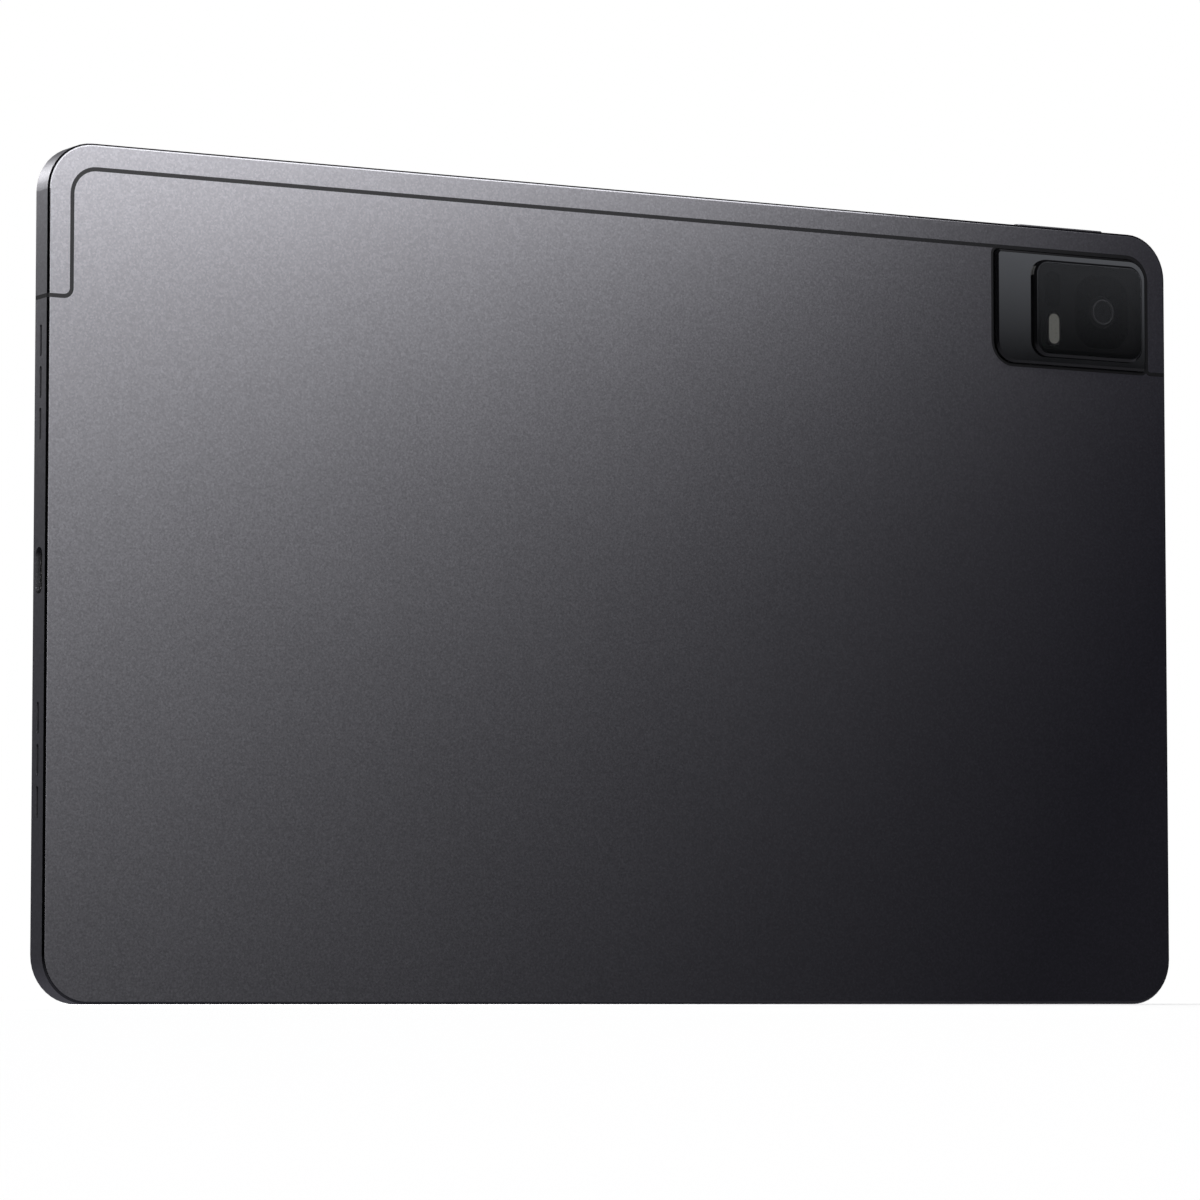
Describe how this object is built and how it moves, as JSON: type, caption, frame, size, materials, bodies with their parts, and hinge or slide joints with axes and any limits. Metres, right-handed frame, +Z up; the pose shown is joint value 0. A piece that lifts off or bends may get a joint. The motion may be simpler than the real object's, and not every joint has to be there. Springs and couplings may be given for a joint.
{
  "type": "tablet computer",
  "caption": "Thin rounded-rectangle tablet computer with a satin metal back, plastic antenna seam and a raised rear camera island.",
  "frame": {"origin": "on the flat of the long lower edge, midway along it", "axes": "+X along the long side towards the charging port, +Y out of the back, -Y out of the screen, +Z up the short side towards the volume rocker"},
  "size_m": [0.2571, 0.0089, 0.1622],
  "materials": {
    "anodised_aluminium": "satin, fine bead-blasted and anodised dark grey",
    "seam_plastic": "moulded, satin",
    "gloss_black": "gloss black",
    "camera_glass": "smoked, polished",
    "black_print": "printed film",
    "cover_glass": "polished, black border",
    "black_plastic": "moulded",
    "stainless_steel": "stamped",
    "lens_glass": "coated",
    "flash_diffuser": "frosted",
    "led_phosphor": "phosphor",
    "circuit_board": "solder mask",
    "chip_resin": "moulded resin",
    "flex_film": "polyimide film",
    "battery_foil": "laminated foil pouch",
    "clear_adhesive": "adhesive",
    "lcd_glass": "laminated",
    "backlight_film": "light guide and films",
    "frame_alloy": "cast magnesium alloy",
    "screw_steel": "plated",
    "gold_plate": "gold plated",
    "seal_rubber": "silicone"
  },
  "bodies": {
    "chassis": {"antenna_band": "anodised_aluminium", "antenna_insulator": "seam_plastic", "antennas": "black_plastic", "backlight": "backlight_film", "battery_cell_left": "battery_foil", "battery_cell_right": "battery_foil", "battery_guard_board": "circuit_board", "battery_lead": "flex_film", "battery_pads": "clear_adhesive", "bezel_tape": "clear_adhesive", "board_chips": "chip_resin", "board_screws": "screw_steel", "board_shields": "stainless_steel", "camera_bezel": "gloss_black", "camera_plinth": "gloss_black", "camera_window": "camera_glass", "card_reader": "stainless_steel", "cover_glass": "cover_glass", "display_adhesive": "clear_adhesive", "display_flex": "flex_film", "flash_board": "circuit_board", "flash_leds": "led_phosphor", "flash_lens": "flash_diffuser", "flash_ring": "black_plastic", "frame_screws": "screw_steel", "front_bezel": "black_plastic", "front_camera": "black_plastic", "front_camera_lens": "lens_glass", "key_brackets": "stainless_steel", "key_flexes": "flex_film", "lcd_panel": "lcd_glass", "lens_surround": "black_print", "light_sensor": "chip_resin", "main_board": "circuit_board", "main_flex": "flex_film", "microphones": "stainless_steel", "mid_frame": "frame_alloy", "power_dome": "stainless_steel", "rear_camera_can": "stainless_steel", "rear_housing": "anodised_aluminium", "rear_sensor_board": "circuit_board", "sensor_cover": "black_print", "speaker_lower_left": "black_plastic", "speaker_lower_right": "black_plastic", "speaker_meshes": "stainless_steel", "speaker_upper_left": "black_plastic", "speaker_upper_right": "black_plastic", "usb_board": "circuit_board", "usb_contacts": "gold_plate", "usb_shell": "stainless_steel", "usb_tongue": "black_plastic", "volume_domes": "stainless_steel"},
    "power_button": {"power_button": "anodised_aluminium"},
    "volume_rocker": {"volume_rocker": "anodised_aluminium"},
    "card_tray": {"card_tray": "anodised_aluminium", "tray_seal": "seal_rubber"},
    "eject_rod": {"eject_rod": "stainless_steel"},
    "lens_carrier": {"rear_lens_barrel": "black_plastic", "rear_lens": "lens_glass"}
  },
  "joints": [
    {"name": "power_press", "type": "slide", "parent": "chassis", "child": "power_button", "axis": [1, 0, 0], "range_m": [0, 0.0003], "stiffness_N_per_m": 1500, "deforming": ["power_dome"]},
    {"name": "volume_rock", "type": "hinge", "parent": "chassis", "child": "volume_rocker", "pos_m": [-0.103, 0.00042, 0.159], "axis": [0, 1, 0], "range_deg": [-1.2, 1.2], "stiffness_Nm_per_rad": 0.6, "deforming": ["volume_domes"]},
    {"name": "tray_slide", "type": "slide", "parent": "chassis", "child": "card_tray", "axis": [-1, 0, 0], "range_m": [0, 0.0235]},
    {"name": "eject_press", "type": "slide", "parent": "chassis", "child": "eject_rod", "axis": [1, 0, 0], "range_m": [0, 0.0015]},
    {"name": "focus_travel", "type": "slide", "parent": "chassis", "child": "lens_carrier", "axis": [0, 1, 0], "range_m": [0, 0.00025], "stiffness_N_per_m": 60}
  ]
}
